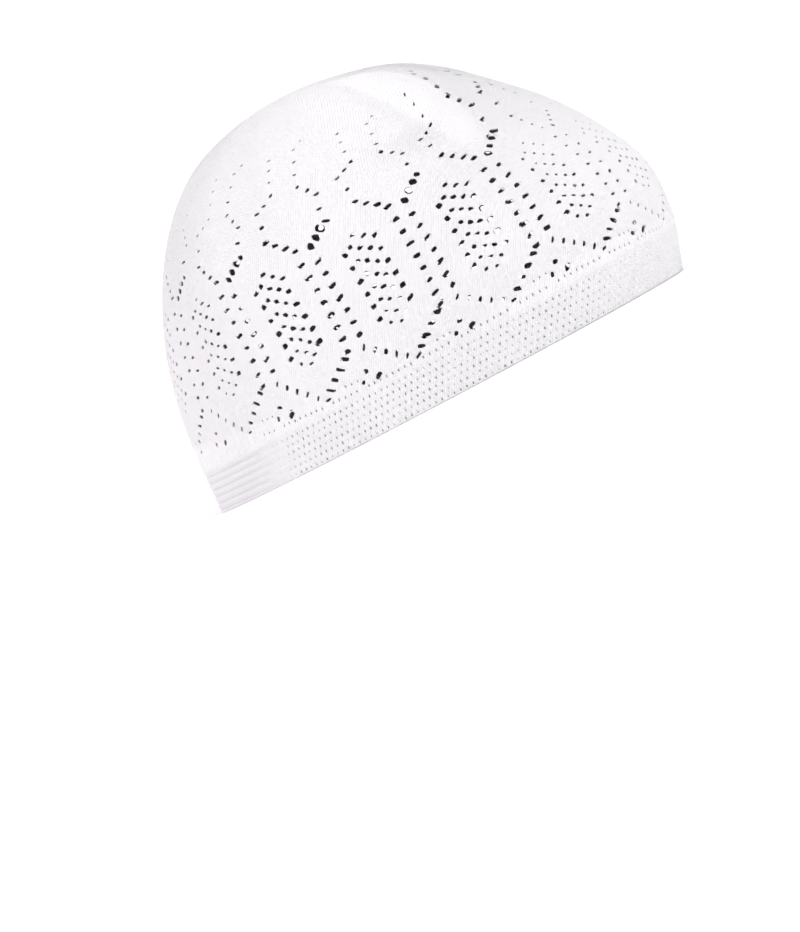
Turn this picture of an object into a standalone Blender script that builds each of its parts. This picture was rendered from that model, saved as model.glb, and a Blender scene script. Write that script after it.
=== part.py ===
"""A knitted kufi: an openwork crown above a welted band, in the form that a head gives it.

Metres, +Z up. The rim lies flat in z = 0, the forehead is at -Y and the wearer's right is at
-X. The origin is under the middle of the cap's whole length, which swells past the rim in
front. Turns are counted from the forehead towards the wearer's right.
"""

import math
from typing import NamedTuple

import bmesh
import bpy
from mathutils import Matrix, Vector

MM = 0.001

# Form of the dome
CAP_HEIGHT = 128.0 * MM
NARROWER_FOREHEAD = 0.03
RIM_BEHIND_ORIGIN = 4.0 * MM

# Knitted walls
CROWN_WALL = 1.2 * MM
BAND_WALL = 2.0 * MM
PIECE_GAP = 0.4 * MM

# Welted band
BAND_HEIGHT = 16.6 * MM
WELT_COUNT = 6
WELT_PITCH = 2.65 * MM
FIRST_VALLEY = 1.3 * MM
RIM_EDGE = 0.4 * MM
RIM_IN_VALLEY = 0.3
WELT_DEPTH_BACK = 0.6 * MM
WELT_DEPTH_FRONT = 0.1 * MM
WELTS_RISE = (110.0, 135.0)

# Pattern repeats
MOTIF_COUNT = 14
FIRST_MOTIF_TURN = math.radians(102.86)

# How the head draws the even pattern, in degrees: low down it slides towards the ears, over the
# forehead and the nape it rises, less so beside the band, and at both ends it is turned a little
SLIDE_RATE = 0.257
SLIDE_FULL_BELOW = 20.2
SLIDE_NONE_ABOVE = 38.2
RISE_AT_ENDS = 3.65
RISE_TILT = 0.074
RISE_TILT_FROM = -0.7
RISE_STARTS_WITHIN = 1.5
FRONT_FADES = (5.0, 45.0)
FRONT_TURN = 2.15
FRONT_DROP = 2.25
NAPE_STARTS = (120.0, 150.0)
NAPE_TURN = 1.7
NAPE_DROP = 0.95

# How the fold at the crease takes the pattern along, in degrees
FOLD_ROWS = (34.0, 54.0)
FOLD_FRONT = (-15.0, 28.0)
FOLD_BACK = (36.0, 50.0)
FOLD_TURN = 15.1
FOLD_RISE = 5.2

# Mesh steps
COLUMNS_PER_MOTIF = 5
COLUMNS = MOTIF_COUNT * COLUMNS_PER_MOTIF
CROWN_RING_STEP = 4.6
CROWN_LAST_RING = 85.0
APEX_ANGLE = 90.0
SHARP_ANGLE = math.radians(35)
MERGE_DISTANCE = 1e-6

# Steps that directions on the dome are measured over
TURN_STEP = 1e-3
ANGLE_STEP = 0.1

# Crease of the crown, from near its top down towards the wearer's right temple
CREASE_HEIGHT = 1.1 * MM
CREASE_WIDTH = 6.0 * MM
CREASE_REACH = 0.42
CREASE_FACES_FROM = CAP_HEIGHT / 3

# Eyelets cut through the crown
CUTTER_SIDES = 6
CUTTER_DEPTH = 8.0 * MM

COTTON_WHITE = (0.93, 0.92, 0.93, 1.0)
COTTON_ROUGHNESS = 0.9


class Ring(NamedTuple):
    """A level section of the dome: its angle up the dome, then its sizes in millimetres.

    The centre is counted backwards from the rim's own centre.
    """

    angle: float
    centre: float
    half_length: float
    half_width: float


RINGS = (
    #    angle  centre  half_length  half_width
    Ring(0.0, 0.0, 100.0, 79.0),
    Ring(10.0, -4.2, 102.8, 79.5),
    Ring(20.0, -5.7, 101.1, 78.2),
    Ring(30.0, -3.8, 93.3, 74.6),
    Ring(40.0, -1.3, 82.3, 68.4),
    Ring(50.0, 1.4, 69.2, 59.5),
    Ring(60.0, 2.9, 55.9, 48.3),
    Ring(70.0, 4.2, 40.5, 34.6),
    Ring(80.0, 6.0, 20.6, 18.2),
    Ring(90.0, 7.0, 0.0, 0.0),
)
RING_SPACING = 10.0


class CreasePoint(NamedTuple):
    """A point of the crown's crease: its turn and its angle up the dome, in degrees."""

    turn: float
    angle: float


CREASE_TOP = CreasePoint(-2.0, 62.0)
CREASE_FOOT = CreasePoint(36.0, 31.0)


class Eyelet(NamedTuple):
    """A hole of the repeat: its place on the even pattern, its size and its lean.

    The place is across the motif and in degrees up the dome, the size is in millimetres and the
    lean in degrees.
    """

    across: float
    angle: float
    length: float
    width: float
    lean: float


LARGE_EYELETS = (
    #      across  angle  length  width  lean
    Eyelet(0.457, 34.6, 3.1, 2.4, -20.0),
    Eyelet(0.541, 35.85, 3.1, 2.4, -20.0),
    Eyelet(0.625, 37.1, 3.1, 2.3, -20.0),
    Eyelet(0.705, 38.1, 2.8, 1.7, -15.0),
    Eyelet(1.225, 13.7, 3.1, 1.7, -20.0),
    Eyelet(0.382, 10.4, 2.2, 1.7, 0.0),
    Eyelet(0.478, 8.8, 3.2, 2.0, 40.0),
    Eyelet(0.314, 8.9, 2.0, 1.7, 60.0),
)


def clear_scene() -> None:
    """Remove every object of the open scene."""
    for leftover in list(bpy.data.objects):
        bpy.data.objects.remove(leftover, do_unlink=True)


def smooth_step(low: float, high: float, value: float) -> float:
    """Rise smoothly from 0 at the low end to 1 at the high end."""
    share = min(max((value - low) / (high - low), 0.0), 1.0)
    return share * share * (3.0 - 2.0 * share)


def ring_value(column: str, angle: float) -> float:
    """Read one column of the ring table at any angle, on a smooth curve through its rows."""
    values = [getattr(ring, column) for ring in RINGS]
    values = [2 * values[0] - values[1]] + values + [2 * values[-1] - values[-2]]
    place = min(max(angle / RING_SPACING, 0.0), len(RINGS) - 1.0001)
    row = int(place)
    part = place - row
    before, start, end, after = values[row:row + 4]
    slope_in = (end - before) / 2
    slope_out = (after - start) / 2
    square = part * part
    cube = square * part
    return (
        (2 * cube - 3 * square + 1) * start
        + (cube - 2 * square + part) * slope_in
        + (3 * square - 2 * cube) * end
        + (cube - square) * slope_out
    )


def angle_of_height(height: float) -> float:
    """Give the angle up the dome, in degrees, of a height above the rim."""
    return math.degrees(math.asin(min(max(height / CAP_HEIGHT, 0.0), 1.0)))


def dome_point(turn: float, angle: float, inset: float = 0.0) -> Vector:
    """Give a point of the dome, drawn in level by an inset."""
    half_length = ring_value("half_length", angle) * MM - inset
    half_width = ring_value("half_width", angle) * MM - inset
    return Vector((
        -half_width * math.sin(turn) * (1 - NARROWER_FOREHEAD * math.cos(turn)),
        RIM_BEHIND_ORIGIN + ring_value("centre", angle) * MM - half_length * math.cos(turn),
        CAP_HEIGHT * math.sin(math.radians(angle)),
    ))


def dome_frame(turn: float, angle: float) -> tuple[Vector, Vector, Vector]:
    """Give the directions along the ring, up the dome and out of it at one point."""
    along = dome_point(turn - TURN_STEP, angle) - dome_point(turn + TURN_STEP, angle)
    along.normalize()
    upper = min(angle + ANGLE_STEP, APEX_ANGLE - ANGLE_STEP)
    rise = dome_point(turn, upper) - dome_point(turn, angle - ANGLE_STEP)
    outward = along.cross(rise).normalized()
    return along, outward.cross(along), outward


def crease_lift(point: Vector) -> float:
    """Give how far the crease raises or sinks the crown at a point.

    Its back side stands up as a ridge and its front side sinks as a valley, and both fade out
    towards its two ends.
    """
    top = dome_point(math.radians(CREASE_TOP.turn), CREASE_TOP.angle)
    foot = dome_point(math.radians(CREASE_FOOT.turn), CREASE_FOOT.angle)
    run = foot - top
    along = (point - top).dot(run) / run.length_squared
    fade = math.exp(-((along - 0.5) / CREASE_REACH) ** 4)
    outward = ((top + foot) / 2 - Vector((0, 0, CREASE_FACES_FROM))).normalized()
    across = run.normalized().cross(outward)
    distance = (point - top).dot(across) / CREASE_WIDTH
    return -CREASE_HEIGHT * fade * distance * math.exp(0.5 - distance * distance / 2)


def cap_point(turn: float, angle: float) -> Vector:
    """Give a point of the crown's outer face, with its crease."""
    point = dome_point(turn, angle)
    if angle > CROWN_LAST_RING:
        return point
    return point + dome_frame(turn, angle)[2] * crease_lift(point)


def cotton(name: str) -> bpy.types.Material:
    """Make the white cotton of one piece."""
    material = bpy.data.materials.new(name)
    material.use_nodes = True
    shader = material.node_tree.nodes["Principled BSDF"]
    shader.inputs["Base Color"].default_value = COTTON_WHITE
    shader.inputs["Roughness"].default_value = COTTON_ROUGHNESS
    shader.inputs["Metallic"].default_value = 0.0
    material.diffuse_color = COTTON_WHITE
    return material


def add_object(name: str, form: bmesh.types.BMesh) -> bpy.types.Object:
    """Turn a bmesh into a named, smooth-shaded object of the scene."""
    bmesh.ops.recalc_face_normals(form, faces=form.faces)
    mesh = bpy.data.meshes.new(name)
    form.to_mesh(mesh)
    form.free()
    mesh.shade_smooth()
    mesh.set_sharp_from_angle(angle=SHARP_ANGLE)
    thing = bpy.data.objects.new(name, mesh)
    bpy.context.scene.collection.objects.link(thing)
    return thing


def welt_depth(turn: float) -> float:
    """Give how deep the welts stand: deep at the nape, shallow where the band is stretched."""
    away = abs(math.degrees(math.remainder(turn, math.tau)))
    return WELT_DEPTH_FRONT + (WELT_DEPTH_BACK - WELT_DEPTH_FRONT) * smooth_step(*WELTS_RISE, away)


class BandRow(NamedTuple):
    """A row of the band's section: its height, its inset and how far it lies in a valley."""

    height: float
    inset: float
    valley: float


def band_section() -> list[BandRow]:
    """List the band's closed section: up the welted outer face and down the plain inner face."""
    rows = [BandRow(0.0, RIM_EDGE, 0.0), BandRow(RIM_EDGE, 0.0, RIM_IN_VALLEY)]
    for welt in range(WELT_COUNT):
        valley = FIRST_VALLEY + welt * WELT_PITCH
        rows.append(BandRow(valley, 0.0, 1.0))
        if welt < WELT_COUNT - 1:
            rows.append(BandRow(valley + WELT_PITCH / 2, 0.0, 0.0))
    rows.append(BandRow(BAND_HEIGHT, 0.0, 0.0))
    for share in (1.0, 0.5, 0.0):
        rows.append(BandRow(BAND_HEIGHT * share, BAND_WALL, 0.0))
    return rows


def make_band() -> bpy.types.Object:
    """Model the welted band as a ring whose section is swept around the rim."""
    rows = band_section()
    form = bmesh.new()
    bmesh.ops.create_grid(form, x_segments=COLUMNS, y_segments=len(rows), size=0.5)
    for vert in form.verts:
        turn = (vert.co.x + 0.5) * math.tau
        row = rows[round((vert.co.y + 0.5) * len(rows)) % len(rows)]
        inset = row.inset + row.valley * welt_depth(turn)
        vert.co = dome_point(turn, angle_of_height(row.height), inset)
    bmesh.ops.remove_doubles(form, verts=form.verts, dist=MERGE_DISTANCE)
    band = add_object("band", form)
    band.data.materials.append(cotton("band_cotton"))
    return band


def crown_ring_angles() -> list[float]:
    """List the angles of the crown's rings, from its edge above the band to its apex."""
    first = angle_of_height(BAND_HEIGHT + PIECE_GAP)
    steps = round((CROWN_LAST_RING - first) / CROWN_RING_STEP)
    rings = [first + (CROWN_LAST_RING - first) * step / steps for step in range(steps + 1)]
    return rings + [APEX_ANGLE]


def make_crown_shell() -> bpy.types.Object:
    """Model the crown as one sheet around the dome, closed at its apex, and thicken it inwards."""
    angles = crown_ring_angles()
    form = bmesh.new()
    bmesh.ops.create_grid(form, x_segments=COLUMNS, y_segments=len(angles) - 1, size=0.5)
    apex = []
    for vert in form.verts:
        turn = (vert.co.x + 0.5) * math.tau
        ring = round((vert.co.y + 0.5) * (len(angles) - 1))
        vert.co = cap_point(turn, angles[ring])
        if ring == len(angles) - 1:
            apex.append(vert)
    bmesh.ops.pointmerge(form, verts=apex, merge_co=dome_point(0.0, APEX_ANGLE))
    bmesh.ops.remove_doubles(form, verts=form.verts, dist=MERGE_DISTANCE)
    bmesh.ops.dissolve_degenerate(form, dist=MERGE_DISTANCE, edges=form.edges)
    crown = add_object("crown", form)
    crown.data.materials.append(cotton("crown_cotton"))
    wall = crown.modifiers.new("Knitted wall", "SOLIDIFY")
    wall.thickness = CROWN_WALL
    wall.offset = -1.0
    wall.use_even_offset = True
    return crown


def drawn_place(across: float, angle: float) -> tuple[float, float]:
    """Find the turn, in radians, and the angle on the head of a place of the even pattern."""
    even = FIRST_MOTIF_TURN - across * math.tau / MOTIF_COUNT
    away = abs(math.degrees(math.remainder(even, math.tau)))
    front = 1.0 - smooth_step(*FRONT_FADES, away)
    nape = smooth_step(*NAPE_STARTS, away)
    forward = math.cos(even)
    rise = RISE_AT_ENDS * forward * forward - RISE_TILT * (angle - RISE_TILT_FROM) * forward
    rise -= FRONT_DROP * front + NAPE_DROP * nape
    above_edge = angle - angle_of_height(BAND_HEIGHT)
    slide = SLIDE_RATE * max(SLIDE_NONE_ABOVE - max(angle, SLIDE_FULL_BELOW), 0.0)
    angle += rise * min(above_edge / RISE_STARTS_WITHIN, 1.0)
    turn = math.degrees(even) + slide * math.sin(2 * even)
    near = math.remainder(turn, 360.0)
    fold = smooth_step(*FOLD_ROWS, angle) * smooth_step(*FOLD_FRONT, near)
    fold *= 1.0 - smooth_step(*FOLD_BACK, near)
    turn += FRONT_TURN * front - NAPE_TURN * nape - FOLD_TURN * fold
    return math.radians(turn), angle + FOLD_RISE * fold


def eyelet_matrix(eyelet: Eyelet, motif: int) -> Matrix:
    """Place a unit cylinder as one eyelet's opening, along the way out of the dome."""
    turn, angle = drawn_place(eyelet.across + motif, eyelet.angle)
    along, rise, outward = dome_frame(turn, angle)
    axes = Matrix((along, rise, outward)).transposed().to_4x4()
    place = Matrix.Translation(cap_point(turn, angle))
    lean = Matrix.Rotation(math.radians(eyelet.lean), 4, "Z")
    size = Matrix.Diagonal((eyelet.length * MM, eyelet.width * MM, CUTTER_DEPTH, 1.0))
    return place @ axes @ lean @ size


def cut_eyelets(crown: bpy.types.Object) -> None:
    """Cut the largest eyelets of every motif through the crown."""
    form = bmesh.new()
    for motif in range(MOTIF_COUNT):
        for eyelet in LARGE_EYELETS:
            bmesh.ops.create_cone(
                form,
                cap_ends=True,
                segments=CUTTER_SIDES,
                radius1=0.5,
                radius2=0.5,
                depth=1.0,
                matrix=eyelet_matrix(eyelet, motif),
            )
    cutter = add_object("eyelet_cutter", form)
    cutter.display_type = "WIRE"
    cutter.hide_render = True
    opening = crown.modifiers.new("Eyelets", "BOOLEAN")
    opening.operation = "DIFFERENCE"
    opening.object = cutter


def build() -> None:
    """Build the cap: its band, then its crown with the eyelets."""
    clear_scene()
    origin = bpy.data.objects.new("kufi", None)
    bpy.context.scene.collection.objects.link(origin)
    crown = make_crown_shell()
    cut_eyelets(crown)
    for piece in (make_band(), crown):
        piece.parent = origin


build()
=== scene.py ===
"""A white knitted kufi set down on its rim: its openwork crown, its plain top and its welted band.

Metres and +Z up. The front is at -Y and the right side, as worn, at -X. Turns are counted from
the front towards the right side, and a place across the pattern is counted in repeats, from one on
the right side towards the front.
"""

import logging
import math
import random
from dataclasses import dataclass, field, replace
from enum import Enum
from typing import NamedTuple

import bmesh
import bpy
from mathutils import Matrix, Vector, noise
from mathutils.kdtree import KDTree


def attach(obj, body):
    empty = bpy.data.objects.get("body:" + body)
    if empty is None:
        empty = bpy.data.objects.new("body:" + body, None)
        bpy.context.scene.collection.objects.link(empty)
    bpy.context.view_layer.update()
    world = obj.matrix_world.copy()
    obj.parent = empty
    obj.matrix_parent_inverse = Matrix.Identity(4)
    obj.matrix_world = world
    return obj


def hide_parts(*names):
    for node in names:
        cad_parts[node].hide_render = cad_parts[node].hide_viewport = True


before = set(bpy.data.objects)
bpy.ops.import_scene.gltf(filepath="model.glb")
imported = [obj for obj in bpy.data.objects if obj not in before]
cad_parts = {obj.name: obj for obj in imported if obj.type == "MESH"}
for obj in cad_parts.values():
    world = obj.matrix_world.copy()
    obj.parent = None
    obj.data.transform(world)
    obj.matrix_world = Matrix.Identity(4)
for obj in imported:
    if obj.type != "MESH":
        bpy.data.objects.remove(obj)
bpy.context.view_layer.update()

LOG = logging.getLogger("kufi")
MM = 0.001
SEED = 1407
APEX = 90.0
SAME_PLACE = 0.01
TINY = 1e-6
SHARP_ANGLE = math.radians(52.0)

Colour = tuple[float, float, float, float]

# The Mix node's sockets for colours, which share their names with those for other values.
MIX_FIRST = 6
MIX_SECOND = 7
MIX_RESULT = 2


class Ring(NamedTuple):
    """A level section of the dome: its angle up the dome, then its sizes in millimetres.

    The centre is counted backwards from the rim's own centre.
    """

    angle: float
    centre: float
    half_length: float
    half_width: float


RINGS = (
    #    angle  centre  half_length  half_width
    Ring(0.0, 0.0, 100.0, 79.0),
    Ring(10.0, -4.2, 102.8, 79.5),
    Ring(20.0, -5.7, 101.1, 78.2),
    Ring(30.0, -3.8, 93.3, 74.6),
    Ring(40.0, -1.3, 82.3, 68.4),
    Ring(50.0, 1.4, 69.2, 59.5),
    Ring(60.0, 2.9, 55.9, 48.3),
    Ring(70.0, 4.2, 40.5, 34.6),
    Ring(80.0, 6.0, 20.6, 18.2),
    Ring(90.0, 7.0, 0.0, 0.0),
)
RING_SPACING = 10.0
LAST_PLACE = len(RINGS) - 1.0001


def smooth_step(low: float, high: float, value: float) -> float:
    """Rise smoothly from 0 at the low end to 1 at the high end."""
    share = min(max((value - low) / (high - low), 0.0), 1.0)
    return share * share * (3.0 - 2.0 * share)


def squared(share: float, power: float = 0.75) -> float:
    """Push a share of a round outline outwards, towards a square one."""
    return math.copysign(abs(share) ** power, share)


def turn_away(turn: float) -> float:
    """Give how far a turn, in degrees, is from the front on either side."""
    return abs(math.remainder(turn, 360.0))


def leaned(x: float, y: float, lean: float) -> tuple[float, float]:
    """Turn a flat direction by a lean, in radians."""
    return x * math.cos(lean) - y * math.sin(lean), x * math.sin(lean) + y * math.cos(lean)


class Zone(NamedTuple):
    """A part of the dome with soft edges, each with its two ends in degrees."""

    foot: tuple[float, float]
    top: tuple[float, float]
    front: tuple[float, float]
    rear: tuple[float, float]

    def share(self, turn: float, angle: float) -> float:
        """Give how far a place, in degrees, belongs to the zone.

        Args:
            turn: its turn around the cap.
            angle: its angle up the dome.

        Returns:
            A share, which is 0 outside.
        """
        turn = math.remainder(turn, 360.0)
        rows = smooth_step(*self.foot, angle) * (1.0 - smooth_step(*self.top, angle))
        turns = smooth_step(*self.front, turn) * (1.0 - smooth_step(*self.rear, turn))
        return rows * turns


@dataclass(frozen=True)
class CapForm:
    """The form that wear gives the cap, as a dome on an egg-shaped rim."""

    height: float = 128.0 * MM
    narrower_front: float = 0.03
    rim_behind_origin: float = 4.0 * MM
    band_height: float = 16.6 * MM
    last_ring: float = 85.0
    turn_step: float = 1e-3
    angle_step: float = 0.1
    crease_height: float = 1.1 * MM
    crease_width: float = 6.0 * MM
    crease_reach: float = 0.42
    crease_ends: int = 4
    crease_top: tuple[float, float] = (-2.0, 62.0)
    crease_foot: tuple[float, float] = (36.0, 31.0)
    crease_centre: float = 1 / 3
    ripple_height: float = 0.22 * MM
    ripple_length: float = 17.0 * MM

    @staticmethod
    def ring_value(column: str, angle: float) -> float:
        """Read one column of the ring table at any angle, on a smooth curve through its rows.

        Args:
            column: the name of the column.
            angle: the angle up the dome, in degrees.

        Returns:
            The value in millimetres.
        """
        values = [getattr(ring, column) for ring in RINGS]
        values = [2 * values[0] - values[1]] + values + [2 * values[-1] - values[-2]]
        place = min(max(angle / RING_SPACING, 0.0), LAST_PLACE)
        row = int(place)
        part = place - row
        before, start, end, after = values[row:row + 4]
        slope_in = (end - before) / 2
        slope_out = (after - start) / 2
        square = part * part
        cube = square * part
        return (
            (2 * cube - 3 * square + 1) * start
            + (cube - 2 * square + part) * slope_in
            + (3 * square - 2 * cube) * end
            + (cube - square) * slope_out
        )

    def angle_of_height(self, height: float) -> float:
        """Give the angle up the dome, in degrees, of a height above the rim."""
        return math.degrees(math.asin(min(max(height / self.height, 0.0), 1.0)))

    def dome_point(self, turn: float, angle: float, inset: float = 0.0) -> Vector:
        """Give a point of the bare dome.

        Args:
            turn: the turn around the cap, in radians.
            angle: the angle up the dome, in degrees.
            inset: how far the point is drawn in, on the level.

        Returns:
            The point.
        """
        half_length = self.ring_value("half_length", angle) * MM - inset
        half_width = self.ring_value("half_width", angle) * MM - inset
        centre = self.rim_behind_origin + self.ring_value("centre", angle) * MM
        return Vector((
            -half_width * math.sin(turn) * (1 - self.narrower_front * math.cos(turn)),
            centre - half_length * math.cos(turn),
            self.height * math.sin(math.radians(angle)),
        ))

    def outward(self, turn: float, angle: float) -> Vector:
        """Give the direction out of the dome at a point.

        Args:
            turn: the turn around the cap, in radians.
            angle: the angle up the dome, in degrees.

        Returns:
            The direction, of length 1.
        """
        side, step = self.turn_step, self.angle_step
        along = self.dome_point(turn - side, angle) - self.dome_point(turn + side, angle)
        upper = self.dome_point(turn, min(angle + step, APEX - step))
        rise = upper - self.dome_point(turn, min(angle, APEX - 2 * step) - step)
        if along.length < TINY * MM:
            return Vector((0.0, 0.0, 1.0))
        return along.cross(rise).normalized()

    def crease_lift(self, point: Vector) -> float:
        """Give how far the crease raises or sinks the crown at a point.

        Args:
            point: the point.

        Returns:
            The lift, which is negative on the sunk side.
        """
        top = self.dome_point(math.radians(self.crease_top[0]), self.crease_top[1])
        foot = self.dome_point(math.radians(self.crease_foot[0]), self.crease_foot[1])
        run = foot - top
        along = (point - top).dot(run) / run.length_squared
        fade = math.exp(-((along - 0.5) / self.crease_reach) ** self.crease_ends)
        centre = Vector((0.0, 0.0, self.height * self.crease_centre))
        across = run.normalized().cross(((top + foot) / 2 - centre).normalized())
        distance = (point - top).dot(across) / self.crease_width
        return -self.crease_height * fade * distance * math.exp(0.5 - distance * distance / 2)

    def ripple(self, point: Vector) -> float:
        """Give the slight unevenness of the worked cloth at a point."""
        fade = smooth_step(0.0, self.band_height, point.z)
        return self.ripple_height * fade * noise.noise(point / self.ripple_length)

    def crown_point(self, turn: float, angle: float, sink: float = 0.0) -> Vector:
        """Give a point of the crown's outer face, with its crease and unevenness.

        Args:
            turn: the turn around the cap, in radians.
            angle: the angle up the dome, in degrees.
            sink: how far the point lies under the face.

        Returns:
            The point.
        """
        point = self.dome_point(turn, angle)
        lift = self.ripple(point) - sink
        if angle < self.last_ring:
            lift += self.crease_lift(point)
        return point + self.outward(turn, angle) * lift


class HoleKind(Enum):
    """How a hole of the knit is made."""

    EYELET = "goes through"
    DIMPLE = "sinks in between the loops"


class Run(NamedTuple):
    """A row of like holes in the repeat.

    Its first and last places are across the repeat and in degrees up the dome. Sag is how far,
    in degrees, its middle hangs under the straight line, lengths are in millimetres and the lean
    is in degrees, rising towards the front.
    """

    across: float
    angle: float
    last_across: float
    last_angle: float
    count: int
    sag: float
    length: float
    width: float
    lean: float


LEAF_ROWS = (
    #   across  angle  last_across  last_angle  count  sag  length  width  lean
    Run(0.864, 33.2, 1.041, 31.2, 3, 0.0, 2.5, 1.3, 14.0),
    Run(0.781, 31.2, 1.029, 28.5, 4, 0.0, 2.4, 1.6, 8.0),
    Run(0.782, 28.3, 0.938, 26.7, 3, 0.0, 2.0, 1.6, 0.0),
    Run(0.792, 25.4, 0.947, 23.8, 3, 0.0, 2.2, 1.6, 5.0),
    Run(0.788, 22.8, 0.953, 21.2, 3, 0.0, 2.2, 1.5, 0.0),
    Run(0.790, 20.3, 0.961, 18.8, 3, 0.0, 2.0, 1.3, -5.0),
    Run(0.794, 18.1, 0.959, 16.5, 3, 0.0, 1.8, 1.1, 0.0),
    Run(0.785, 15.8, 0.885, 15.2, 2, 0.0, 1.7, 1.1, 10.0),
)
LEAF_SIDES = (
    #   across  angle  last_across  last_angle  count  sag  length  width  lean
    Run(0.701, 30.2, 0.700, 17.2, 6, 0.4, 2.4, 1.8, 20.0),
    Run(1.029, 25.8, 1.049, 18.1, 4, 0.0, 2.9, 1.8, 12.0),
    Run(1.287, 32.0, 1.284, 14.6, 8, 0.5, 3.1, 1.6, 10.0),
    Run(0.449, 31.4, 0.453, 16.4, 7, 0.3, 3.0, 1.5, 12.0),
)
LEAF_FOOT = (
    #   across  angle  last_across  last_angle  count  sag  length  width  lean
    Run(1.225, 13.7, 1.225, 13.7, 1, 0.0, 3.1, 1.7, -20.0),
    Run(1.135, 12.4, 0.972, 9.9, 3, 0.0, 3.4, 1.5, -23.0),
    Run(0.447, 14.1, 0.815, 9.6, 5, 0.0, 2.4, 1.2, 55.0),
    Run(0.912, 8.7, 0.912, 8.7, 1, 0.0, 2.6, 1.2, 15.0),
    Run(0.382, 10.4, 0.382, 10.4, 1, 0.0, 2.2, 1.7, 0.0),
    Run(0.478, 8.8, 0.478, 8.8, 1, 0.0, 3.4, 2.2, 40.0),
    Run(0.314, 8.9, 0.314, 8.9, 1, 0.0, 2.0, 1.7, 60.0),
)
UPPER_LINES = (
    #   across  angle  last_across  last_angle  count  sag  length  width  lean
    Run(0.457, 34.6, 0.625, 37.1, 3, 0.0, 3.1, 2.6, -20.0),
    Run(0.705, 38.1, 0.705, 38.1, 1, 0.0, 2.9, 1.8, -15.0),
    Run(1.052, 39.1, 1.290, 35.0, 4, 0.0, 2.9, 1.6, 12.0),
    Run(0.717, 41.1, 0.776, 44.3, 2, 0.0, 2.3, 1.2, 15.0),
    Run(0.716, 46.1, 0.639, 47.8, 2, 0.0, 2.2, 1.2, 30.0),
    Run(0.678, 50.9, 0.808, 57.6, 3, 0.0, 2.2, 1.1, 10.0),
    Run(1.069, 42.3, 1.065, 45.6, 2, 0.0, 2.4, 1.1, 20.0),
    Run(1.179, 46.8, 1.302, 48.4, 2, 0.0, 2.4, 1.1, 25.0),
    Run(1.339, 51.8, 1.420, 57.6, 3, 0.0, 2.3, 1.0, 20.0),
    Run(0.950, 59.3, 0.950, 59.3, 1, 0.0, 1.9, 1.0, 20.0),
)
EYELET_RUNS = LEAF_ROWS + LEAF_SIDES + LEAF_FOOT + UPPER_LINES
DIMPLE_RUNS = (
    #   across  angle  last_across  last_angle  count  sag  length  width  lean
    Run(0.153, 8.13, 1.086, 8.13, 15, 0.0, 1.5, 0.75, 97.0),
    Run(0.130, 9.5, 0.260, 9.5, 3, 0.0, 1.2, 0.7, 97.0),
)


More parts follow.
